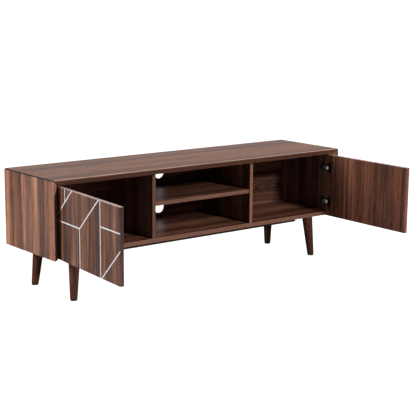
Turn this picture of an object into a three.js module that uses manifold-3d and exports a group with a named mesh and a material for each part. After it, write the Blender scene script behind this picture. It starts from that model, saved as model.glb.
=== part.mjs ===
// TV stand with two doors: a mitred walnut case on four leaning legs, with an open middle bay,
// a shelf, and two recessed doors with inlaid metal strips, hung on concealed cup hinges.
// Millimetres, +Z up, the front faces -Y. Dimensions are taken from the floor under the case's
// middle; the finished stand is then slid so that its origin is the middle of all it covers.
import * as THREE from 'three';
import { mergeVertices } from 'three/addons/utils/BufferGeometryUtils.js';
import Module from 'manifold-3d';

const wasm = await Module();
wasm.setup();

// ---------------------------------------------------------------- driving dimensions
const WIDTH = 1500;
const DEPTH = 380;
const HEIGHT = 492;
const CLEARANCE_UNDER = 182;      // floor to the underside of the case
const FRAME_THICK = 24;           // top and end panels
const BEVEL_DEPTH = 18;           // how far the front edges slope back to the inside
const EDGE_ROUND = 3;             // rounding of the frame's outer front edge
const SOFT_EDGE = 0.8;            // sanded edges of the inner boards
const DOOR_EDGE = 1.2;            // and of the doors
const BOTTOM_THICK = 18;
const BOARD_THICK = 16;           // dividers, shelf and doors
const MIDDLE_BAY = 504;           // between the dividers
const SHELF_TOP = 349;            // above the floor
const SHELF_SETBACK = 4;          // behind the dividers' front edges
const BACK_THICK = 5;
const BACK_INSET = 17;            // rear edges to the back panels
const GROOVE_DEPTH = 6;
const FIT_GAP = 0.3;              // between pieces that touch

const CORNER_STEP = 5;            // square step along the mitred corners
const TRIM_RECESS = 1.2;          // dark trim strip to the faces beside the step

const DOOR_WIDTH = 490;
const DOOR_TOP_GAP = 2.5;         // under the top panel
const DOOR_SIDE_GAP = 2;          // beside the end panel
const DOOR_BOTTOM_RISE = 1.5;     // above the underside of the case
const DOOR_CLOSED_GAP = 3;        // closed door to the dividers' front edges
const DOOR_OPEN_DEG = { left: 95, right: 89 };

const INLAY_WIDE = 4.8;
const INLAY_THICK = 1.2;
const INLAY_SLOPE = 0.887;        // rise over run of the upper and centre slanted strips
const CORNER_SLOPE = 0.92;        // and of the one across the door's lower corner

const AXIS_FROM_EDGE = 8;         // hinge axis: in from the door's edge
const AXIS_FROM_FACE = 5;         // and behind its outer face
const HINGE_FROM_TOP = 61;        // hinge centres to the door's top and bottom
const HINGE_FROM_BOTTOM = 65.5;
const CUP_FROM_EDGE = 21.5;
const CUP_RADIUS = 17.2;
const CUP_WALL = 0.8;
const CUP_DEPTH = 12.3;
const FLANGE_THICK = 1.3;
const CUP_SCREW_SPACING = 48;
const CUP_SCREW_OFFSET = 6;
const LINK_INNER = 14.3;
const LINK_OUTER = 18;
const LINK_HALF_HIGH = 6.9;
const LINK_FROM_DEG = 12;         // the link's arc about the hinge axis, door closed
const LINK_TO_DEG = 95.5;
const LINK_RATIO = 0.5;           // the link turns half as far as the door

const LEG_TOP_RADIUS = 24;
const LEG_FOOT_RADIUS = 14.6;
const LEG_LEAN = { x: 14.5, y: 15 };        // how far each foot stands outside its leg's top
const LEG_TOP = { x: 624.5, front: -125, back: 144.5 };
const FOOT_HIGH = 10;
const BOLT_RADIUS = 4;
const BOLT_IN_LEG = 28;
const BOLT_IN_CASE = 14;

const RAIL = { half: 566, front: -110, back: -90, drop: 20 };
const CABLE_HOLE_RADIUS = 27;
const CABLE_HOLE_Z = [251, 406];
const PIN_RADIUS = 2.5;
const PIN_Y = [-110, 120];
const CAM_RADIUS = 7.2;
const CAM_Y = [-133.5, 130];
const CAM_DROP = 24;              // cam centre below the top panel

// ---------------------------------------------------------------- worked-out places
const HALF = WIDTH / 2;
const FRONT = -DEPTH / 2;
const BACK = DEPTH / 2;
const INNER_HALF = HALF - FRAME_THICK;
const CEILING = HEIGHT - FRAME_THICK;
const FLOOR_TOP = CLEARANCE_UNDER + BOTTOM_THICK;
const BACK_PANEL_Y = BACK - BACK_INSET - BACK_THICK;
const DOOR_FACE_Y = FRONT + BEVEL_DEPTH;
const BOARD_FRONT_Y = DOOR_FACE_Y + BOARD_THICK + DOOR_CLOSED_GAP;
const DIVIDER_IN = MIDDLE_BAY / 2;
const DIVIDER_OUT = DIVIDER_IN + BOARD_THICK;
const DOOR_TOP = CEILING - DOOR_TOP_GAP;
const DOOR_BOTTOM = CLEARANCE_UNDER + DOOR_BOTTOM_RISE;
const AXIS_X = INNER_HALF - DOOR_SIDE_GAP - AXIS_FROM_EDGE;
const AXIS_Y = DOOR_FACE_Y + AXIS_FROM_FACE;
const WALL_FROM_AXIS = -(INNER_HALF - AXIS_X);      // end panel's inner face, seen from the axis
const DOOR_INNER = BOARD_THICK - AXIS_FROM_FACE;    // door's inner face, seen from the axis
const HINGES = { upper: DOOR_TOP - HINGE_FROM_TOP, lower: DOOR_BOTTOM + HINGE_FROM_BOTTOM };

// ---------------------------------------------------------------- materials
const paint = (color, roughness, metalness = 0) =>
  new THREE.MeshStandardMaterial({ color, roughness, metalness });
const LOOK = {
  top: () => paint('#8a7068', 0.45),
  walnut: () => paint('#7a5444', 0.55),
  inside: () => paint('#5a3b30', 0.6),
  leg: () => paint('#46291f', 0.5),
  black: () => paint('#0c0d11', 0.5, 0.6),
  nickel: () => paint('#cfcac2', 0.28, 1),
  silver: () => paint('#d9dbde', 0.35, 1),
  brass: () => paint('#a98a63', 0.4, 1),
  rubber: () => paint('#0d0d0d', 0.85),
};

// ---------------------------------------------------------------- solids
function toSolid(geometry) {
  const bare = geometry.index ? geometry.toNonIndexed() : geometry.clone();
  bare.deleteAttribute('normal');
  bare.deleteAttribute('uv');
  const merged = mergeVertices(bare, 1e-4);
  return new wasm.Manifold(new wasm.Mesh({
    numProp: 3,
    vertProperties: merged.attributes.position.array,
    triVerts: new Uint32Array(merged.index.array),
  }));
}

function toGeometry(solid) {
  const { vertProperties, triVerts } = solid.getMesh();
  const geometry = new THREE.BufferGeometry();
  geometry.setAttribute('position', new THREE.BufferAttribute(vertProperties, 3));
  geometry.setIndex(new THREE.BufferAttribute(triVerts, 1));
  geometry.computeVertexNormals();
  return geometry;
}

const AXES = {
  x: new THREE.Vector3(1, 0, 0),
  y: new THREE.Vector3(0, 1, 0),
  z: new THREE.Vector3(0, 0, 1),
};
// Turns that lay an outline across an axis: (y, z) across x, (x, z) across y, (x, y) across z.
const ACROSS = {
  x: new THREE.Matrix4().makeBasis(AXES.y, AXES.z, AXES.x),
  y: new THREE.Matrix4().makeBasis(AXES.x, AXES.z, AXES.y.clone().negate()),
  z: new THREE.Matrix4(),
};

function prism(axis, outline, low, high) {
  const shape = new THREE.Shape(outline.map(([a, b]) => new THREE.Vector2(a, b)));
  const geometry = new THREE.ExtrudeGeometry(shape, { depth: high - low, bevelEnabled: false });
  geometry.translate(0, 0, axis === 'y' ? -high : low);
  return toSolid(geometry.applyMatrix4(ACROSS[axis]));
}

function box([x0, y0, z0], [x1, y1, z1]) {
  const geometry = new THREE.BoxGeometry(x1 - x0, y1 - y0, z1 - z0);
  return toSolid(geometry.translate((x0 + x1) / 2, (y0 + y1) / 2, (z0 + z1) / 2));
}

// A box with every edge and corner rounded.
function softBox(low, high, radius) {
  const corners = [];
  for (const x of [low[0] + radius, high[0] - radius]) {
    for (const y of [low[1] + radius, high[1] - radius]) {
      for (const z of [low[2] + radius, high[2] - radius]) {
        corners.push(wasm.Manifold.sphere(radius, 12).translate([x, y, z]));
      }
    }
  }
  return wasm.Manifold.hull(corners);
}

// A round bar along an axis; centre is given in the other two axes, in X, Y, Z order.
function rod(axis, radius, [a, b], low, high, sides = 32) {
  const geometry = new THREE.CylinderGeometry(radius, radius, high - low, sides);
  const middle = (low + high) / 2;
  if (axis === 'x') return toSolid(geometry.rotateZ(-Math.PI / 2).translate(middle, a, b));
  if (axis === 'y') return toSolid(geometry.translate(a, middle, b));
  return toSolid(geometry.rotateX(Math.PI / 2).translate(a, b, middle));
}

function arc([cx, cy], radius, fromDeg, toDeg, steps) {
  return Array.from({ length: steps + 1 }, (_, i) => {
    const turn = THREE.MathUtils.degToRad(fromDeg + ((toDeg - fromDeg) * i) / steps);
    return [cx + radius * Math.cos(turn), cy + radius * Math.sin(turn)];
  });
}

// The cross-shaped recess in a screw head that faces along an axis; `at` is its centre.
function cross(axis, at, arm, face) {
  const deep = 0.9;
  return ['first', 'second'].map((which) => {
    const half = which === 'first' ? [arm, 0.45] : [0.45, arm];
    const span = axis === 'x'
      ? [[face - deep, at[0] - half[0], at[1] - half[1]], [face + 1, at[0] + half[0], at[1] + half[1]]]
      : [[at[0] - half[0], face - deep, at[1] - half[1]], [at[0] + half[0], face + 1, at[1] + half[1]]];
    return box(...span);
  });
}

const joined = (...solids) => wasm.Manifold.union(solids);
const cut = (solid, ...tools) => wasm.Manifold.difference([solid, ...tools]);
const sided = (solid, side) => (side === 'left' ? solid : solid.mirror([1, 0, 0]));

function add(group, name, solid, look) {
  const mesh = new THREE.Mesh(toGeometry(solid), LOOK[look]());
  mesh.name = name;
  group.add(mesh);
}

// ---------------------------------------------------------------- case panels
// The frame's section: outer face, rounded front edge, and a slope back to the inner face.
// `out` is the outer face's coordinate and `dir` points from it to the inside.
function frameSection(out, dir) {
  const inner = out + dir * FRAME_THICK;
  const rounding = arc([0, 0], EDGE_ROUND, 90, 180, 4).map(([back, rise]) => [
    FRONT + EDGE_ROUND + back,
    out + dir * (EDGE_ROUND - rise),
  ]);
  return [[BACK, out], ...rounding, [DOOR_FACE_Y, inner], [BACK, inner]];
}

function backGroove(low, high) {
  return box(
    [low[0], BACK_PANEL_Y - FIT_GAP, low[1]],
    [high[0], BACK_PANEL_Y + BACK_THICK + FIT_GAP, high[1]],
  );
}

// Everything beyond the mitre, on one side of the plane that splits the corner in two.
function mitreWaste(keep) {
  const over = 6;
  const shift = keep === 'top' ? FIT_GAP / 2 : -FIT_GAP / 2;
  const far = keep === 'top' ? -HALF - 2 * over : -INNER_HALF + 2 * over;
  const lowEnd = [-INNER_HALF + over + shift, CEILING - over];
  const highEnd = [-HALF - over + shift, HEIGHT + over];
  return prism('y', [lowEnd, highEnd, [far, highEnd[1]], [far, lowEnd[1]]], FRONT - 1, BACK + 1);
}

function topPanel() {
  const groove = backGroove([-INNER_HALF - GROOVE_DEPTH, CEILING - 1],
    [INNER_HALF + GROOVE_DEPTH, CEILING + GROOVE_DEPTH]);
  const body = cut(prism('x', frameSection(HEIGHT, -1), -HALF + CORNER_STEP, HALF - CORNER_STEP), groove);
  const waste = mitreWaste('top');
  return cut(body, waste, waste.mirror([1, 0, 0]));
}

function endPanel() {
  const section = frameSection(-HALF, 1).map(([y, x]) => [x, y]).reverse();
  const slab = prism('z', section, CLEARANCE_UNDER, HEIGHT);
  const step = box([-HALF - 1, FRONT - 1, HEIGHT - CORNER_STEP],
    [-HALF + CORNER_STEP, BACK + 1, HEIGHT + 1]);
  const groove = backGroove([-INNER_HALF - GROOVE_DEPTH, FLOOR_TOP - GROOVE_DEPTH],
    [-INNER_HALF + 1, CEILING + GROOVE_DEPTH]);
  return cut(slab, mitreWaste('end'), step, groove);
}

function cornerTrim() {
  const [left, top] = [-HALF + TRIM_RECESS, HEIGHT - TRIM_RECESS];
  return box([left, FRONT + EDGE_ROUND, HEIGHT - CORNER_STEP + FIT_GAP],
    [-HALF + CORNER_STEP - FIT_GAP, BACK - 1, top]);
}

function bottomPanel() {
  const half = INNER_HALF - FIT_GAP;
  const board = softBox([-half, BOARD_FRONT_Y, CLEARANCE_UNDER], [half, BACK, FLOOR_TOP], SOFT_EDGE);
  const groove = backGroove([-HALF, FLOOR_TOP - GROOVE_DEPTH], [HALF, FLOOR_TOP + 1]);
  const bores = [];
  for (const x of [-LEG_TOP.x, LEG_TOP.x]) {
    for (const y of [LEG_TOP.front, LEG_TOP.back]) {
      bores.push(rod('z', BOLT_RADIUS + FIT_GAP, [x, y],
        CLEARANCE_UNDER - 1, CLEARANCE_UNDER + BOLT_IN_CASE + FIT_GAP));
    }
  }
  return cut(board, groove, ...bores);
}

function divider() {
  const low = FLOOR_TOP + FIT_GAP;
  const high = CEILING - FIT_GAP;
  const board = softBox([-DIVIDER_OUT, BOARD_FRONT_Y, low], [-DIVIDER_IN, BACK, high], SOFT_EDGE);
  const tools = [
    backGroove([-DIVIDER_OUT - 1, low - 1], [-DIVIDER_OUT + GROOVE_DEPTH, high + 1]),
    backGroove([-DIVIDER_IN - GROOVE_DEPTH, low - 1], [-DIVIDER_IN + 1, high + 1]),
  ];
  for (const y of PIN_Y) {
    tools.push(rod('x', PIN_RADIUS + FIT_GAP, [y, pinZ()], -DIVIDER_IN - 8, -DIVIDER_IN + 1));
  }
  for (const y of CAM_Y) {
    tools.push(rod('x', CAM_RADIUS + FIT_GAP, [y, CEILING - CAM_DROP],
      -DIVIDER_IN - 12.3, -DIVIDER_IN + 1));
  }
  return cut(board, ...tools);
}

const pinZ = () => SHELF_TOP - BOARD_THICK - FIT_GAP - PIN_RADIUS;

function shelf() {
  const half = DIVIDER_IN - FIT_GAP;
  return softBox([-half, BOARD_FRONT_Y + SHELF_SETBACK, SHELF_TOP - BOARD_THICK],
    [half, BACK_PANEL_Y - FIT_GAP, SHELF_TOP], SOFT_EDGE);
}

function backPanel(xLow, xHigh, holes) {
  const reach = GROOVE_DEPTH - 2 * FIT_GAP;
  const board = box([xLow - reach, BACK_PANEL_Y, FLOOR_TOP - reach],
    [xHigh + reach, BACK_PANEL_Y + BACK_THICK, CEILING + reach]);
  const bores = holes.map((z) =>
    rod('y', CABLE_HOLE_RADIUS, [0, z], BACK_PANEL_Y - 1, BACK_PANEL_Y + BACK_THICK + 1, 48));
  return bores.length ? cut(board, ...bores) : board;
}

function shelfPin(y) {
  return rod('x', PIN_RADIUS, [y, pinZ()], -DIVIDER_IN - 7.6, -DIVIDER_IN + 8, 20);
}

function camLock(y) {
  const z = CEILING - CAM_DROP;
  const face = -DIVIDER_IN + 0.6;
  const body = rod('x', CAM_RADIUS, [y, z], -DIVIDER_IN - 12, face);
  return cut(body, ...cross('x', [y, z], 4.5, face));
}

function buildCase(group) {
  add(group, 'top_panel', topPanel(), 'top');
  add(group, 'bottom_panel', bottomPanel(), 'walnut');
  add(group, 'shelf', shelf(), 'walnut');
  add(group, 'middle_back_panel', backPanel(-DIVIDER_IN, DIVIDER_IN, CABLE_HOLE_Z), 'inside');
  const railLow = [-RAIL.half, RAIL.front, CLEARANCE_UNDER - RAIL.drop];
  const railHigh = [RAIL.half, RAIL.back, CLEARANCE_UNDER - FIT_GAP];
  add(group, 'under_rail', softBox(railLow, railHigh, SOFT_EDGE), 'black');
  for (const side of ['left', 'right']) {
    add(group, `${side}_end_panel`, sided(endPanel(), side), 'walnut');
    add(group, `${side}_corner_trim`, sided(cornerTrim(), side), 'black');
    add(group, `${side}_divider`, sided(divider(), side), 'walnut');
    add(group, `${side}_back_panel`,
      sided(backPanel(-INNER_HALF, -DIVIDER_OUT, []), side), 'inside');
    ['front', 'back'].forEach((place, i) => {
      add(group, `${side}_${place}_shelf_pin`, sided(shelfPin(PIN_Y[i]), side), 'nickel');
      add(group, `${side}_${place}_cam_lock`, sided(camLock(CAM_Y[i]), side), 'brass');
    });
  }
}

// ---------------------------------------------------------------- legs
// A round taper that leans out: level sections stay round and slide sideways with height.
function leaning(geometry, place, side) {
  const foot = { x: -LEG_TOP.x - LEG_LEAN.x, y: LEG_TOP[place] + leanY(place) };
  const lean = { x: LEG_LEAN.x / CLEARANCE_UNDER, y: -leanY(place) / CLEARANCE_UNDER };
  geometry.rotateX(Math.PI / 2);
  geometry.applyMatrix4(new THREE.Matrix4().makeShear(0, 0, 0, 0, lean.x, lean.y));
  return sided(toSolid(geometry.translate(foot.x, foot.y, 0)), side);
}

const leanY = (place) => (place === 'front' ? -LEG_LEAN.y : LEG_LEAN.y);
const legRadius = (z) => THREE.MathUtils.lerp(LEG_FOOT_RADIUS, LEG_TOP_RADIUS, z / CLEARANCE_UNDER);

function leg(place, side) {
  const [low, high] = [FOOT_HIGH, CLEARANCE_UNDER - FIT_GAP];
  const profile = [[0, low], [legRadius(low), low], [legRadius(high), high], [0, high]];
  const points = profile.map(([r, z]) => new THREE.Vector2(r, z));
  const x = side === 'left' ? -LEG_TOP.x : LEG_TOP.x;
  const bore = rod('z', BOLT_RADIUS + FIT_GAP, [x, LEG_TOP[place]],
    CLEARANCE_UNDER - BOLT_IN_LEG - FIT_GAP, CLEARANCE_UNDER + 1);
  return cut(leaning(new THREE.LatheGeometry(points, 48), place, side), bore);
}

function foot(place, side) {
  const high = FOOT_HIGH - FIT_GAP;
  const radius = LEG_FOOT_RADIUS - 0.2;
  const profile = [
    [0, 0], [radius - 4, 0], [radius - 1.9, 0.6], [radius - 0.6, 1.9], [radius, 4], [radius, high], [0, high],
  ];
  const points = profile.map(([r, z]) => new THREE.Vector2(r, z));
  return leaning(new THREE.LatheGeometry(points, 40), place, side);
}

function buildLegs(group) {
  for (const side of ['left', 'right']) {
    for (const place of ['front', 'back']) {
      const x = side === 'left' ? -LEG_TOP.x : LEG_TOP.x;
      add(group, `${place}_${side}_leg`, leg(place, side), 'leg');
      add(group, `${place}_${side}_foot`, foot(place, side), 'rubber');
      add(group, `${place}_${side}_leg_bolt`, rod('z', BOLT_RADIUS, [x, LEG_TOP[place]],
        CLEARANCE_UNDER - BOLT_IN_LEG, CLEARANCE_UNDER + BOLT_IN_CASE, 24), 'nickel');
    }
  }
}

// ---------------------------------------------------------------- doors
// Door pieces are made closed, with the hinge axis at x = 0, y = 0, for the left door.
const doorX = (fromEdge) => fromEdge - AXIS_FROM_EDGE;

// A strip's outline on the door's face, from one point to another, both as [from edge, z].
function strip([x0, z0], [x1, z1], half) {
  const along = new THREE.Vector2(x1 - x0, z1 - z0).normalize();
  const [dx, dz] = [-along.y * half, along.x * half];
  return [[x0 + dx, z0 + dz], [x0 - dx, z0 - dz], [x1 - dx, z1 - dz], [x1 + dx, z1 + dz]]
    .map(([x, z]) => [doorX(x), z]);
}

const EDGE_OVER = 20;     // strips run past the door's outline and are trimmed to it
const MID_LINE = 335.5;
const INLAY_RUNS = {
  upper: [
    [[128 + EDGE_OVER, DOOR_TOP + EDGE_OVER * INLAY_SLOPE],
      [-EDGE_OVER, DOOR_TOP - (128 + EDGE_OVER) * INLAY_SLOPE]],
    [[70.5, DOOR_TOP + EDGE_OVER], [70.5, DOOR_TOP - 57.5 * INLAY_SLOPE]],
  ],
  centre: [
    [[-EDGE_OVER, MID_LINE], [188.5, MID_LINE]],
    [[188.5, MID_LINE], [188.5 + 170, MID_LINE + 170 * INLAY_SLOPE]],
    [[188.5, MID_LINE], [188.5, DOOR_BOTTOM - EDGE_OVER]],
  ],
  tall: [
    [[347.5, DOOR_TOP + EDGE_OVER], [347.5, DOOR_BOTTOM - EDGE_OVER]],
    [[347.5, 372], [DOOR_WIDTH + EDGE_OVER, 372]],
  ],
  corner: [
    [[355 - EDGE_OVER, DOOR_BOTTOM - EDGE_OVER * CORNER_SLOPE],
      [DOOR_WIDTH + EDGE_OVER, DOOR_BOTTOM + (DOOR_WIDTH + EDGE_OVER - 355) * CORNER_SLOPE]],
  ],
};

function inlayRun(name, half, depth) {
  const face = -AXIS_FROM_FACE;
  const pieces = INLAY_RUNS[name].flatMap(([from, to]) => [
    prism('y', strip(from, to, half), face - 0.01, face + depth),
    rod('y', half, [doorX(from[0]), from[1]], face - 0.01, face + depth, 24),
    rod('y', half, [doorX(to[0]), to[1]], face - 0.01, face + depth, 24),
  ]);
  return joined(...pieces);
}

function inlay(name) {
  const room = box([doorX(0), -AXIS_FROM_FACE, DOOR_BOTTOM],
    [doorX(DOOR_WIDTH), -AXIS_FROM_FACE + INLAY_THICK, DOOR_TOP]);
  return inlayRun(name, INLAY_WIDE / 2, INLAY_THICK).intersect(room);
}

function doorPanel() {
  const board = softBox([doorX(0), -AXIS_FROM_FACE, DOOR_BOTTOM],
    [doorX(DOOR_WIDTH), DOOR_INNER, DOOR_TOP], DOOR_EDGE);
  const tools = Object.keys(INLAY_RUNS).map((name) =>
    inlayRun(name, INLAY_WIDE / 2 + FIT_GAP / 2, INLAY_THICK + FIT_GAP));
  for (const z of Object.values(HINGES)) {
    tools.push(rod('y', CUP_RADIUS + FIT_GAP, [doorX(CUP_FROM_EDGE), z],
      DOOR_INNER - CUP_DEPTH - FIT_GAP, DOOR_INNER + 1, 48));
  }
  return cut(board, ...tools);
}

function hingeCup(z) {
  const cx = doorX(CUP_FROM_EDGE);
  const screwX = cx + CUP_SCREW_OFFSET;
  const plateLow = DOOR_INNER + 0.2;
  const plateHigh = plateLow + FLANGE_THICK;
  const reach = CUP_SCREW_SPACING / 2;
  const shell = joined(
    rod('y', CUP_RADIUS, [cx, z], DOOR_INNER - CUP_DEPTH, plateHigh, 48),
    rod('y', CUP_RADIUS + 1.6, [cx, z], plateLow, plateHigh, 48),
    box([screwX - 7, plateLow, z - reach], [screwX + 7, plateHigh, z + reach]),
    ...[-reach, reach].flatMap((dz) => [
      rod('y', 7, [screwX, z + dz], plateLow, plateHigh, 32),
      rod('y', 4.2, [screwX, z + dz], plateLow, plateHigh + 1.2, 24),
    ]),
  );
  const hollow = rod('y', CUP_RADIUS - CUP_WALL, [cx, z],
    DOOR_INNER - CUP_DEPTH + CUP_WALL, plateHigh + 2, 48);
  const springPin = rod('z', 2.2, [22, 5], z - 13.6, z + 13.6, 20);
  const crosses = [-reach, reach].flatMap((dz) => cross('y', [screwX, z + dz], 2.6, plateHigh + 1.2));
  return joined(cut(shell, hollow, ...crosses), springPin);
}

// ---------------------------------------------------------------- hinges
function hingePlate(z) {
  const [low, high] = [WALL_FROM_AXIS + 0.1, WALL_FROM_AXIS + 2];
  const screwY = 42;
  const plate = joined(
    box([low, 20, z - 8], [high, 60, z + 8]),
    box([low, screwY - 6, z - 16], [high, screwY + 6, z + 16]),
    ...[-16, 16].flatMap((dz) => [
      rod('x', 6, [screwY, z + dz], low, high, 24),
      rod('x', 4.2, [screwY, z + dz], low, high + 1.6, 24),
    ]),
  );
  return cut(plate, ...[-16, 16].flatMap((dz) => cross('x', [screwY, z + dz], 2.6, high + 1.6)));
}

function hingeArm(z) {
  const foot = WALL_FROM_AXIS + 2 + FIT_GAP;
  const half = 8.9;
  const wall = 1.6;
  const side = [
    [foot, 58], [2, 58], [2, 43], [21, 28], [21.5, 14], [17.5, 9.5],
    ...arc([0, 0], 14.8, 40, 98, 5), [foot, 26],
  ].reverse();
  const hollow = [
    [foot - 2, 58 - wall], [2 - wall, 58 - wall], [2 - wall, 43 - wall / 2],
    [21 - wall, 28 - wall / 2], [21 - wall, 5], [foot - 2, 5],
  ].reverse();
  const channel = cut(prism('z', side, z - half, z + half),
    prism('z', hollow, z - half + wall, z + half - wall));
  const screw = rod('x', 3.4, [50.5, z], 2 - wall / 2, 3.4, 24);
  const rivets = [-1, 1].map((way) => {
    const ends = [z + way * (half - 0.8), z + way * (half + 0.8)].sort((a, b) => a - b);
    return rod('z', 1.8, [15.5, 19.5], ends[0], ends[1], 20);
  });
  return cut(joined(channel, screw, ...rivets), ...cross('x', [50.5, z], 2.2, 3.4));
}

function hingeLink(z) {
  const outline = [
    ...arc([0, 0], LINK_OUTER, LINK_FROM_DEG, LINK_TO_DEG, 12),
    ...arc([0, 0], LINK_INNER, LINK_TO_DEG, LINK_FROM_DEG, 12),
  ];
  const middle = THREE.MathUtils.degToRad((LINK_FROM_DEG + LINK_TO_DEG) / 2);
  const dimple = rod('x', 2.1, [0, z], LINK_OUTER - 1.3, LINK_OUTER + 2, 20)
    .rotate([0, 0, THREE.MathUtils.radToDeg(middle)]);
  return cut(prism('z', outline, z - LINK_HALF_HIGH, z + LINK_HALF_HIGH), dimple);
}

// A group whose origin is one side's hinge axis, turned by `openDeg` away from closed.
function hingeGroup(parent, side, openDeg) {
  const group = new THREE.Group();
  const way = side === 'left' ? -1 : 1;
  group.position.set(way * AXIS_X, AXIS_Y, 0);
  group.rotation.z = THREE.MathUtils.degToRad(way * openDeg);
  parent.add(group);
  return group;
}

function buildSide(root, side) {
  const openDeg = DOOR_OPEN_DEG[side];
  const fixed = hingeGroup(root, side, 0);
  const links = hingeGroup(root, side, openDeg * LINK_RATIO);
  const door = hingeGroup(root, side, openDeg);
  for (const [level, z] of Object.entries(HINGES)) {
    const name = `${side}_${level}_hinge`;
    add(fixed, `${name}_plate`, sided(hingePlate(z), side), 'black');
    add(fixed, `${name}_arm`, sided(hingeArm(z), side), 'nickel');
    add(links, `${name}_link`, sided(hingeLink(z), side), 'nickel');
    add(door, `${name}_cup`, sided(hingeCup(z), side), 'nickel');
  }
  add(door, `${side}_door`, sided(doorPanel(), side), 'walnut');
  for (const name of Object.keys(INLAY_RUNS)) {
    add(door, `${side}_inlay_${name}`, sided(inlay(name), side), 'silver');
  }
}

// ---------------------------------------------------------------- the stand
const pieces = new THREE.Group();
buildCase(pieces);
buildLegs(pieces);
buildSide(pieces, 'left');
buildSide(pieces, 'right');

// The origin: on the floor, at the middle of the floor area covered with both doors open.
const covered = new THREE.Box3().setFromObject(pieces, true).getCenter(new THREE.Vector3());
pieces.position.set(-covered.x, -covered.y, 0);

const stand = new THREE.Group();
stand.add(pieces);

export default stand;
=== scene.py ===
"""Looks for a walnut TV stand with two doors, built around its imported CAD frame. Metres, +Z up."""
import math

import bpy
from mathutils import Matrix, Vector


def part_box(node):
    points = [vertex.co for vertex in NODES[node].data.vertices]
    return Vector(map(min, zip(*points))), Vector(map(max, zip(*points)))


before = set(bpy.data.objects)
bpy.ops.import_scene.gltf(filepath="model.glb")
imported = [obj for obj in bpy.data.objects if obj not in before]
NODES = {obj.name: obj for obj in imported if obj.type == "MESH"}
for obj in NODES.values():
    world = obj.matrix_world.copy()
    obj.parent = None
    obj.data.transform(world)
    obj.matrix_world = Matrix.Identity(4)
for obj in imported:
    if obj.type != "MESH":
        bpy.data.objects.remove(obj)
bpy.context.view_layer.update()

# ---------------------------------------------------------------- where the case stands
CASE_LOW, CASE_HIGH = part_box("top_panel")
CASE_X = (CASE_LOW.x + CASE_HIGH.x) / 2
CASE_Y = (CASE_LOW.y + CASE_HIGH.y) / 2


def from_case(x, y, z):
    """A point measured from the floor under the middle of the case."""
    return Vector((CASE_X + x, CASE_Y + y, z))


# ---------------------------------------------------------------- node helpers
AXIS = {"x": 0, "y": 1, "z": 2}


def add(tree, kind, settings=(), **inputs):
    """A shader node with its settings. Its inputs, given by name or as i0, i1 and so on, are values
    or sockets."""
    node = tree.nodes.new(kind)
    for key, value in dict(settings).items():
        setattr(node, key, value)
    for key, value in inputs.items():
        socket = node.inputs[int(key[1:])] if key[0] == "i" and key[1:].isdigit() else node.inputs[key]
        if isinstance(value, bpy.types.NodeSocket):
            tree.links.new(value, socket)
        else:
            socket.default_value = value
    return node


def surface(name, **sockets):
    """A new material: its node tree and its shader, with constants set on the shader itself."""
    material = bpy.data.materials.new(name)
    material.use_nodes = True
    shader = material.node_tree.nodes["Principled BSDF"]
    for key, value in sockets.items():
        shader.inputs[key.replace("_", " ")].default_value = value
    return material, material.node_tree, shader


def finish_surface(tree, shader, colour, rough, height, strength, distance):
    """Feeds a shader its colour and roughness, and bumps from a height."""
    bump = add(tree, "ShaderNodeBump", Strength=strength, Distance=distance, Height=height)
    tree.links.new(colour, shader.inputs["Base Color"])
    tree.links.new(rough, shader.inputs["Roughness"])
    tree.links.new(bump.outputs[0], shader.inputs["Normal"])


def ramp(tree, value, stops):
    """A colour ramp over (position, colour or grey) stops."""
    node = add(tree, "ShaderNodeValToRGB", Fac=value)
    elements = node.color_ramp.elements
    while len(elements) < len(stops):
        elements.new(0.5)
    for element, (position, colour) in zip(elements, stops):
        element.position = position
        element.color = (*colour, 1) if isinstance(colour, tuple) else (colour, colour, colour, 1)
    return node.outputs["Color"]


def noise(tree, vector, scale, detail=2.0, roughness=0.5, distortion=0.0):
    """The grey of a noise texture."""
    return add(tree, "ShaderNodeTexNoise", Vector=vector, Scale=scale, Detail=detail,
               Roughness=roughness, Distortion=distortion).outputs["Fac"]


def math_node(tree, operation, a, b=0.0, c=0.0):
    """One arithmetic step on a socket."""
    return add(tree, "ShaderNodeMath", {"operation": operation}, i0=a, i1=b, i2=c).outputs[0]


def vector_node(tree, operation, output, **inputs):
    """One step of vector arithmetic."""
    return add(tree, "ShaderNodeVectorMath", {"operation": operation}, **inputs).outputs[output]


def mix(tree, blend, factor, a, b):
    """Two colours blended."""
    node = add(tree, "ShaderNodeMix", {"data_type": "RGBA", "blend_type": blend}, i0=factor, i6=a, i7=b)
    return node.outputs[2]


def multiply(tree, a, b):
    """Two colours multiplied in full."""
    return mix(tree, "MULTIPLY", 1.0, a, b)


def object_place(tree):
    """The object coordinates, which at rest are those of the frame."""
    return add(tree, "ShaderNodeTexCoord").outputs["Object"]


def mapped(tree, vector, offset, scale):
    """Coordinates scaled and then shifted."""
    return add(tree, "ShaderNodeMapping", Vector=vector, Location=offset, Scale=scale).outputs[0]


def along_axis(tree, axis):
    """The object coordinate along one axis."""
    return add(tree, "ShaderNodeSeparateXYZ", Vector=object_place(tree)).outputs[AXIS[axis]]


def band(tree, axis, low, high):
    """1 where the object coordinate along an axis is between low and high, and 0 elsewhere."""
    along = along_axis(tree, axis)
    above = math_node(tree, "GREATER_THAN", along, low)
    return math_node(tree, "MULTIPLY", above, math_node(tree, "LESS_THAN", along, high))


# ---------------------------------------------------------------- walnut
WALNUT = {
    "deep": (0.060, 0.028, 0.023),
    "dark": (0.105, 0.052, 0.040),
    "mid": (0.185, 0.088, 0.057),
    "light": (0.262, 0.126, 0.078),
    "pale": (0.345, 0.178, 0.112),
}
# where each tone sits about the middle of the broad noise, in steps of the spread
TONE_PLACE = {"deep": -1.2, "dark": -0.5, "mid": 0.0, "light": 0.45, "pale": 1.2}
TONE_SPREAD = 0.15
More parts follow.
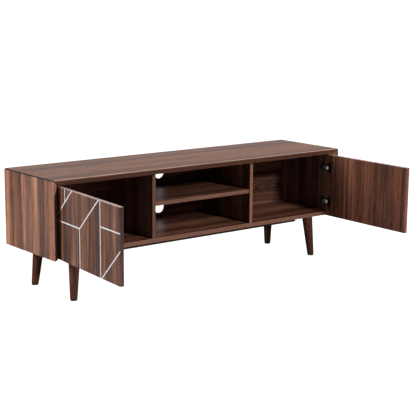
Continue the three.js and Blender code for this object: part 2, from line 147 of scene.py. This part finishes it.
# texture cells per metre across the grain
BROAD_CELLS, HUE_CELLS, SLICE_CELLS, FINE_CELLS, PORE_CELLS = 17, 11, 24, 190, 760
BANDING_EVENNESS, PORE_STRENGTH, STREAK_PEAK = 0.55, 0.8, 2.3
SWAY_CELLS, WOBBLE_CELLS = 2.2, 1.6


def grain_place(tree, grain, seed, along=0.03, sway=0.03):
    """Object coordinates squeezed along the grain, and gently swaying across it."""
    place = object_place(tree)
    drift = add(tree, "ShaderNodeTexNoise", Vector=place, Scale=SWAY_CELLS, Detail=1.0).outputs["Color"]
    swing = vector_node(tree, "MULTIPLY_ADD", 0, i0=drift, i1=(sway,) * 3, i2=place)
    scale = [1.0, 1.0, 1.0]
    scale[AXIS[grain]] = along
    offset = (seed * 1.37 % 7, seed * 2.11 % 5, seed * 0.73 % 9)
    return mapped(tree, swing, offset, scale)


def growth_rings(tree, colour, grain, centre, across, length, rings, strength):
    """Nested pointed rings around a centre, as where veneer is cut through a swelling of the stem."""
    size = [across] * 3
    size[AXIS[grain]] = length
    shrink = [1 / k for k in size]
    local = mapped(tree, object_place(tree), [-c * k for c, k in zip(centre, shrink)], shrink)
    wobble = add(tree, "ShaderNodeTexNoise", Vector=local, Scale=WOBBLE_CELLS,
                 Detail=3.0).outputs["Color"]
    swing = 0.5
    bent = vector_node(tree, "MULTIPLY_ADD", 0, i0=wobble, i1=(swing,) * 3, i2=local)
    centred = vector_node(tree, "SUBTRACT", 0, i0=bent, i1=(swing / 2,) * 3)
    reach = vector_node(tree, "LENGTH", "Value", i0=centred)
    wave = math_node(tree, "SINE", math_node(tree, "MULTIPLY", reach, rings * 2 * math.pi))
    lines = ramp(tree, wave, [(0.0, 1.25), (0.5, 1.0), (0.95, 0.5)])
    near = ramp(tree, reach, [(0.75, strength), (1.15, 0.0)])
    return mix(tree, "MULTIPLY", near, colour, lines)


def streak(tree, colour, axis, middle, half):
    """A pale line in the figure, which fades out at half its width from the middle."""
    aside = math_node(tree, "ABSOLUTE", math_node(tree, "SUBTRACT", along_axis(tree, axis), middle))
    away = math_node(tree, "DIVIDE", aside, half)
    return multiply(tree, colour, ramp(tree, away, [(0.0, STREAK_PEAK), (1.0, 1.0)]))


def banding_and_painted_light(tree, colour, rough, gain, bands, factor, gloss):
    """Colour and roughness with a strip of evener wood where all the bands meet, its colour scaled by a
    factor that paints a highlight or shade there.
    """
    mask = band(tree, *bands[0])
    for limits in bands[1:]:
        mask = math_node(tree, "MULTIPLY", mask, band(tree, *limits))
    plain = (*(c * gain for c in WALNUT["mid"]), 1.0)
    banding = multiply(tree, mix(tree, "MIX", BANDING_EVENNESS, colour, plain), (*factor, 1.0))
    rough = add(tree, "ShaderNodeMix", {"data_type": "FLOAT"}, i0=mask, i2=rough, i3=gloss).outputs[0]
    return mix(tree, "MIX", mask, colour, banding), rough


def walnut(name, grain, seed, gain=1.0, contrast=1.0, gloss=0.42, specular=0.16, coat=0.03,
           scale=1.0, tint=(1.0, 1.0, 1.0), figures=(), edges=(), streaks=()):
    """Straight-grained walnut veneer under a satin lacquer. Figures are growth rings, edges are
    (bands, colour factor, roughness) of edge banding whose colour factor paints light or shade, and
    streaks are pale lines along the grain."""
    material, tree, shader = surface(name, Specular_IOR_Level=specular, Coat_Weight=coat,
                                     Coat_Roughness=0.22)
    broad = noise(tree, grain_place(tree, grain, seed, along=0.022), BROAD_CELLS * scale,
                  detail=5.0, roughness=0.66, distortion=0.1)
    hue = noise(tree, grain_place(tree, grain, seed + 2), HUE_CELLS * scale)
    fine = noise(tree, grain_place(tree, grain, seed + 3), FINE_CELLS * scale,
                 detail=5.0, roughness=0.76)
    slices = add(tree, "ShaderNodeTexVoronoi", Scale=SLICE_CELLS * scale,
                 Vector=grain_place(tree, grain, seed + 7, along=0.012, sway=0.006)).outputs["Color"]
    slice_tone = add(tree, "ShaderNodeSeparateXYZ", Vector=slices).outputs[0]
    pores = noise(tree, grain_place(tree, grain, seed + 5), PORE_CELLS, roughness=0.6)

    spread = TONE_SPREAD / contrast
    # gain and tint scale every tone; the walnut boards below use them to paint light and shade
    tones = [(0.5 + spread * TONE_PLACE[tone], tuple(c * gain * t for c, t in zip(base, tint)))
             for tone, base in WALNUT.items()]
    cool_to_warm = [(0.36, (0.90, 0.99, 1.10)), (0.62, (1.07, 1.0, 0.93))]
    colour = multiply(tree, ramp(tree, broad, tones), ramp(tree, hue, cool_to_warm))
    colour = multiply(tree, colour, ramp(tree, fine, [(0.34, 0.42), (0.5, 1.0), (0.68, 1.52)]))
    colour = multiply(tree, colour, ramp(tree, slice_tone, [(0.0, 0.84), (1.0, 1.16)]))
    pore_mask = ramp(tree, pores, [(0.54, 1.0), (0.66, 0.6)])
    colour = mix(tree, "MULTIPLY", PORE_STRENGTH, colour, pore_mask)
    for line in streaks:
        colour = streak(tree, colour, *line)
    for figure in figures:
        colour = growth_rings(tree, colour, grain, **figure)
    rough = math_node(tree, "MULTIPLY_ADD", fine, 0.16, gloss - 0.08)
    for bands, factor, edge_gloss in edges:
        colour, rough = banding_and_painted_light(tree, colour, rough, gain, bands, factor, edge_gloss)
    height = math_node(tree, "MULTIPLY_ADD", pore_mask, 0.6, fine)
    finish_surface(tree, shader, colour, rough, height, strength=0.25, distance=0.00025)
    return material


# ---------------------------------------------------------------- metal and coatings
def metal(name, colour, roughness, brush=(1.0, 1.0, 1.0), depth=0.08, tarnish=0.15, metallic=1.0):
    """Plated or brushed metal with fine scratches and slightly uneven tarnish. The brush is the
    scratches' scale on x, y and z: they run along the axis where it is small."""
    material, tree, shader = surface(name, Metallic=metallic)
    blotch = noise(tree, mapped(tree, object_place(tree), (3.1, 0.4, 1.7), (1, 1, 1)), 90, detail=3.0)
    scratch = noise(tree, mapped(tree, object_place(tree), (0.2, 1.3, 2.9), brush), 900,
                    detail=3.0, roughness=0.6)
    dull = tuple(c * (1 - tarnish) for c in colour)
    plated = ramp(tree, blotch, [(0.35, dull), (0.6, colour)])
    rough = math_node(tree, "MULTIPLY_ADD", scratch, 0.22, max(roughness - 0.1, 0.02))
    finish_surface(tree, shader, plated, rough, scratch, strength=depth, distance=0.0001)
    return material


def coating(name, colour, roughness, worn=(0.05, 0.05, 0.05)):
    """Painted or moulded surface with a fine grit and faint rubbed patches."""
    material, tree, shader = surface(name, Specular_IOR_Level=0.4)
    grains = noise(tree, mapped(tree, object_place(tree), (1.1, 2.2, 0.3), (1, 1, 1)), 700,
                   detail=3.0, roughness=0.65)
    rubbed = noise(tree, mapped(tree, object_place(tree), (4.0, 0.7, 2.2), (1, 1, 1)), 14,
                   detail=5.0, roughness=0.7)
    painted = ramp(tree, rubbed, [(0.5, colour), (0.78, worn)])
    rough = math_node(tree, "MULTIPLY_ADD", grains, 0.2, roughness - 0.1)
    finish_surface(tree, shader, painted, rough, grains, strength=0.2, distance=0.0001)
    return material


# ---------------------------------------------------------------- dressing the CAD pieces
def dress(node, material):
    """Gives a CAD node its material in place of its packed one."""
    piece = NODES[node]
    piece.data.materials.clear()
    piece.data.materials.append(material)


def dress_all(ending, material):
    """Gives one material to every CAD node whose name has an ending."""
    for name in NODES:
        if name.endswith(ending):
            dress(name, material)


# A band that runs out of a board ends this far outside it.
BEYOND = 1
LIP_GLOSS, SLOPE_GLOSS, BAND_GLOSS = 0.3, 0.45, 0.42
LIP_HIGH, LIP_DEEP = 0.0014, 0.0028
SLOPE_BELOW_TOP, SLOPE_DEEP = 0.0026, 0.0178
DOOR_LIP_HIGH = 0.0012
BAND_DEEP = 0.0009
DOOR_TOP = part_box("left_door")[1].z
HINGE_LIGHT_EDGE = from_case(0, -0.212, 0).y


def lit_front_edge(node, factor):
    """The banded front edge of a board, whose colour factor is painted light for the front lamps it
    faces.
    """
    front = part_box(node)[0].y
    return [("y", front - BEYOND, front + BAND_DEEP)], factor, BAND_GLOSS


# a painted highlight along the top panel's front lip, whitened for the backdrop it reflects, and
# painted shade darkening the slope under it
TOP_LIP_HIGHLIGHT = ([("y", CASE_LOW.y - BEYOND, CASE_LOW.y + LIP_DEEP),
             ("z", CASE_HIGH.z - LIP_HIGH, CASE_HIGH.z + BEYOND)], (2.2, 3.4, 4.4), LIP_GLOSS)
# painted shade: the slope under the lip is darkened for the light it misses
TOP_SLOPE_SHADE = ([("y", CASE_LOW.y - BEYOND, CASE_LOW.y + SLOPE_DEEP),
              ("z", 0, CASE_HIGH.z - SLOPE_BELOW_TOP)], (0.8, 0.7, 0.66), SLOPE_GLOSS)
# painted reflection: the doors' top faces are whitened for the bright backdrop they reflect
DOOR_TOP_HIGHLIGHT = ([("z", DOOR_TOP - DOOR_LIP_HIGH, DOOR_TOP + BEYOND)], (2.2, 3.3, 4.3), LIP_GLOSS)
# painted light brightening the right door's strip beside its hinges, which the case's top panel shades
DOOR_HINGE_PAINTED_LIGHT = ([("y", HINGE_LIGHT_EDGE, CASE_HIGH.y + BEYOND)], (1.75, 1.6, 1.55), BAND_GLOSS)

DOOR_RINGS = dict(centre=from_case(0.705, -0.573, 0.205), across=0.034, length=0.105,
                  rings=5.0, strength=1.0)
END_EYE = dict(centre=from_case(-0.75, 0.02, 0.348), across=0.016, length=0.03,
               rings=2.0, strength=0.7)
BACK_RINGS = dict(centre=from_case(0.64, 0.168, 0.28), across=0.05, length=0.22,
                  rings=4.0, strength=1.0)
DOOR_STREAKS = [("y", from_case(0, y, 0).y, half)
                for y, half in ((-0.210, 0.004), (-0.337, 0.005), (-0.285, 0.003))]

WARM = (1.08, 0.86, 0.78)
# a painted bluish shade for boards seen inside the case
COOL_SHADE_TINT = (0.92, 1.0, 1.2)
BACK_TINT = (1.0, 0.88, 0.82)
LEG_TINT = (1.1, 0.8, 0.72)

# Each walnut board's gain is painted light or shade: brighter on the lit left end panel, darker on the
# boards inside the case.
dress("top_panel", walnut("walnut_top", "x", 1, contrast=0.5, gloss=0.46, specular=0.06, coat=0.0,
                          edges=[TOP_LIP_HIGHLIGHT, TOP_SLOPE_SHADE]))
dress("left_end_panel", walnut("walnut_left_end", "z", 14, gain=1.18, figures=[END_EYE]))
dress("right_end_panel", walnut("walnut_right_end", "z", 9, gain=0.9, tint=COOL_SHADE_TINT))
dress("bottom_panel", walnut("walnut_bottom", "x", 4, gain=0.72, specular=0.3, tint=WARM,
                             edges=[lit_front_edge("bottom_panel", (1.8, 1.8, 1.7))]))
dress("shelf", walnut("walnut_shelf", "x", 6, gain=0.66, specular=0.3, tint=WARM,
                      edges=[lit_front_edge("shelf", (1.3, 1.35, 1.4))]))
dress("left_divider", walnut("walnut_left_divider", "z", 7, gain=0.6, tint=COOL_SHADE_TINT,
                             edges=[lit_front_edge("left_divider", (1.6, 1.4, 1.25))]))
dress("right_divider", walnut("walnut_right_divider", "z", 8, gain=0.85,
                              edges=[lit_front_edge("right_divider", (2.1, 1.9, 1.7))]))
dress("left_door", walnut("walnut_left_door", "z", 12, gain=0.8, contrast=1.1,
                          edges=[DOOR_TOP_HIGHLIGHT]))
dress("right_door", walnut("walnut_right_door", "z", 15, gain=0.86, contrast=0.9, scale=1.5,
                           tint=WARM, figures=[DOOR_RINGS], edges=[DOOR_HINGE_PAINTED_LIGHT, DOOR_TOP_HIGHLIGHT],
                           streaks=DOOR_STREAKS))
BACK_FIGURES = {"left_back_panel": [], "middle_back_panel": [], "right_back_panel": [BACK_RINGS]}
for index, (name, figures) in enumerate(BACK_FIGURES.items()):
    dress(name, walnut("walnut_" + name, "x", 20 + index, gain=0.72, contrast=1.2, gloss=0.5,
                       specular=0.08, tint=BACK_TINT, figures=figures))
for index, name in enumerate(n for n in sorted(NODES) if n.endswith("_leg")):
    dress(name, walnut("stain_" + name, "z", 30 + index, gain=0.49, contrast=0.5, gloss=0.4,
                       specular=0.12, tint=LEG_TINT))

dress_all("_foot", coating("foot_rubber", (0.012, 0.012, 0.012), 0.7))
dress("under_rail", coating("rail_black", (0.012, 0.013, 0.017), 0.45, worn=(0.03, 0.03, 0.035)))
dress_all("_corner_trim", coating("trim_black", (0.006, 0.006, 0.006), 0.6,
                                  worn=(0.012, 0.012, 0.012)))
# painted shade: the hinge plates and arms are given a dark colour for the shade they sit in
dress_all("_hinge_plate", metal("plate_nickel_painted_shade", (0.20, 0.19, 0.18), 0.34, brush=(0.1, 1, 1)))
dress_all("_hinge_arm", metal("arm_nickel_painted_shade", (0.16, 0.15, 0.15), 0.36, brush=(1, 0.1, 1)))
# partly the link's own bright plating and partly painted light: it is near-white and barely metallic so
# it shows bright in the shade
dress_all("_hinge_link", metal("link_zinc_painted_bright", (0.96, 0.95, 0.93), 0.42, brush=(1, 1, 0.1),
                               metallic=0.1))
dress_all("_hinge_cup", metal("cup_dark_nickel", (0.20, 0.19, 0.18), 0.3, brush=(1, 1, 0.1)))
dress_all("_shelf_pin", metal("pin_nickel", (0.6, 0.59, 0.57), 0.3))
dress_all("_leg_bolt", metal("bolt_zinc", (0.5, 0.5, 0.48), 0.35))
dress_all("_cam_lock", metal("cam_brass", (0.46, 0.33, 0.2), 0.42))
inlay = metal("inlay_brushed", (0.94, 0.94, 0.96), 0.4, brush=(1, 0.2, 1), depth=0.1, tarnish=0.05,
              metallic=0.35)
for name in NODES:
    if "_inlay_" in name:
        dress(name, inlay)

# ---------------------------------------------------------------- camera
LENS_MM, SENSOR_MM = 96.62, 36
YAW, PITCH, ROLL = 0.67574, 0.19324, 0.00804
EYE = from_case(-2.8695, -3.7574, 1.1983)


def camera_frame(yaw, pitch, roll):
    """The camera's right, up and backward directions as the columns of a rotation."""
    ahead = Vector((math.sin(yaw) * math.cos(pitch), math.cos(yaw) * math.cos(pitch),
                    -math.sin(pitch)))
    level = Vector((math.cos(yaw), -math.sin(yaw), 0))
    above = level.cross(ahead)
    right = level * math.cos(roll) + above * math.sin(roll)
    up = above * math.cos(roll) - level * math.sin(roll)
    return Matrix((right, up, -ahead)).transposed()


camera_data = bpy.data.cameras.new("camera")
camera_data.sensor_width = SENSOR_MM
camera_data.lens = LENS_MM
camera_data.clip_start, camera_data.clip_end = 0.05, 200
camera = bpy.data.objects.new("camera", camera_data)
camera.matrix_world = Matrix.Translation(EYE) @ camera_frame(YAW, PITCH, ROLL).to_4x4()
bpy.context.scene.collection.objects.link(camera)
bpy.context.scene.camera = camera

# ---------------------------------------------------------------- floor
# The floor and the backdrop are white to the camera, and return less light to the stand than that.
FLOOR_SIZE, FLOOR_DROP = 80, 0.0004
FLOOR_GREY = (0.22, 0.22, 0.22, 1)
WHITE = (1.0, 1.0, 1.0, 1.0)


def camera_sees(tree):
    """1 for what the camera sees directly, and 0 for what any other ray meets."""
    return add(tree, "ShaderNodeLightPath").outputs["Is Camera Ray"]


bpy.ops.mesh.primitive_plane_add(size=FLOOR_SIZE, location=(CASE_X, CASE_Y, -FLOOR_DROP))
floor = bpy.context.object
floor.name = "floor"
floor_material, floor_tree, floor_shader = surface(
    "floor_pale", Base_Color=FLOOR_GREY, Emission_Color=WHITE, Roughness=0.9, Specular_IOR_Level=0.1)
floor_tree.links.new(camera_sees(floor_tree), floor_shader.inputs["Emission Strength"])
floor.data.materials.append(floor_material)

# ---------------------------------------------------------------- backdrop
# A studio that is bright behind the stand, where the white backdrop hangs, and dim in front of it.
BACKDROP = (0.61, 0.77, 0.12)
FRONT_FILL, BACKDROP_GLOW = 0.028, 0.85
FILL_TINT = (0.62, 0.5, 1.0)
# how far a direction has to face the backdrop for the glow to start, to be full, and to be white
GLOW_STARTS, GLOW_FULL, TINT_ENDS = 0.0, 0.75, 0.6

world = bpy.data.worlds.new("studio")
bpy.context.scene.world = world
world.use_nodes = True
sky = world.node_tree
background = sky.nodes["Background"]
heading = add(sky, "ShaderNodeTexCoord").outputs["Generated"]
facing = vector_node(sky, "DOT_PRODUCT", "Value", i0=heading, i1=BACKDROP)
glow = add(sky, "ShaderNodeMapRange", {"interpolation_type": "SMOOTHSTEP"},
           Value=facing, i1=GLOW_STARTS, i2=GLOW_FULL, i3=FRONT_FILL, i4=BACKDROP_GLOW).outputs[0]
seen = camera_sees(sky)
tint = ramp(sky, facing, [(GLOW_STARTS, FILL_TINT), (TINT_ENDS, WHITE[:3])])
sky.links.new(math_node(sky, "MAXIMUM", glow, seen), background.inputs["Strength"])
sky.links.new(mix(sky, "MIX", seen, tint, WHITE), background.inputs["Color"])


# ---------------------------------------------------------------- lights
def hang(name, data, source, place=(0, 0, 0)):
    """A lamp at a place, with its light arriving from the direction of source."""
    lamp = bpy.data.objects.new(name, data)
    lamp.location = place
    lamp.rotation_mode = "QUATERNION"
    lamp.rotation_quaternion = source.to_track_quat("Z", "Y")
    bpy.context.scene.collection.objects.link(lamp)


def sun(name, azimuth, elevation, strength, spread):
    """Soft parallel light arriving from an azimuth (0 from the front, 90 from the left side)."""
    data = bpy.data.lights.new(name, "SUN")
    data.energy = strength
    data.angle = math.radians(spread)
    a, e = math.radians(azimuth), math.radians(elevation)
    hang(name, data, Vector((-math.sin(a) * math.cos(e), -math.cos(a) * math.cos(e), math.sin(e))))


def softbox(name, place, target, side, power):
    """A soft light of some width and height at a place, turned to a target."""
    data = bpy.data.lights.new(name, "AREA")
    data.shape = "RECTANGLE"
    data.size, data.size_y = side
    data.energy = power
    hang(name, data, place - target, place)


sun("front_above", azimuth=-8, elevation=58, strength=0.08, spread=40)
softbox("key_left", from_case(-3.3, 0.5, 1.5), from_case(0, -0.2, 0.35), side=(1.2, 1.2), power=96)
softbox("front_high", from_case(0.75, -4.2, 2.9), from_case(0.1, 0, 0.33), side=(1.0, 1.2), power=70)
softbox("front_low", from_case(0.78, -5.0, 2.5), from_case(0.1, 0, 0.33), side=(0.5, 0.4), power=160)
softbox("rim_right", from_case(3.0, -0.9, 4.0), from_case(0, 0, 0.4), side=(1.4, 1.4), power=80)

bpy.context.scene.view_settings.view_transform = "Standard"
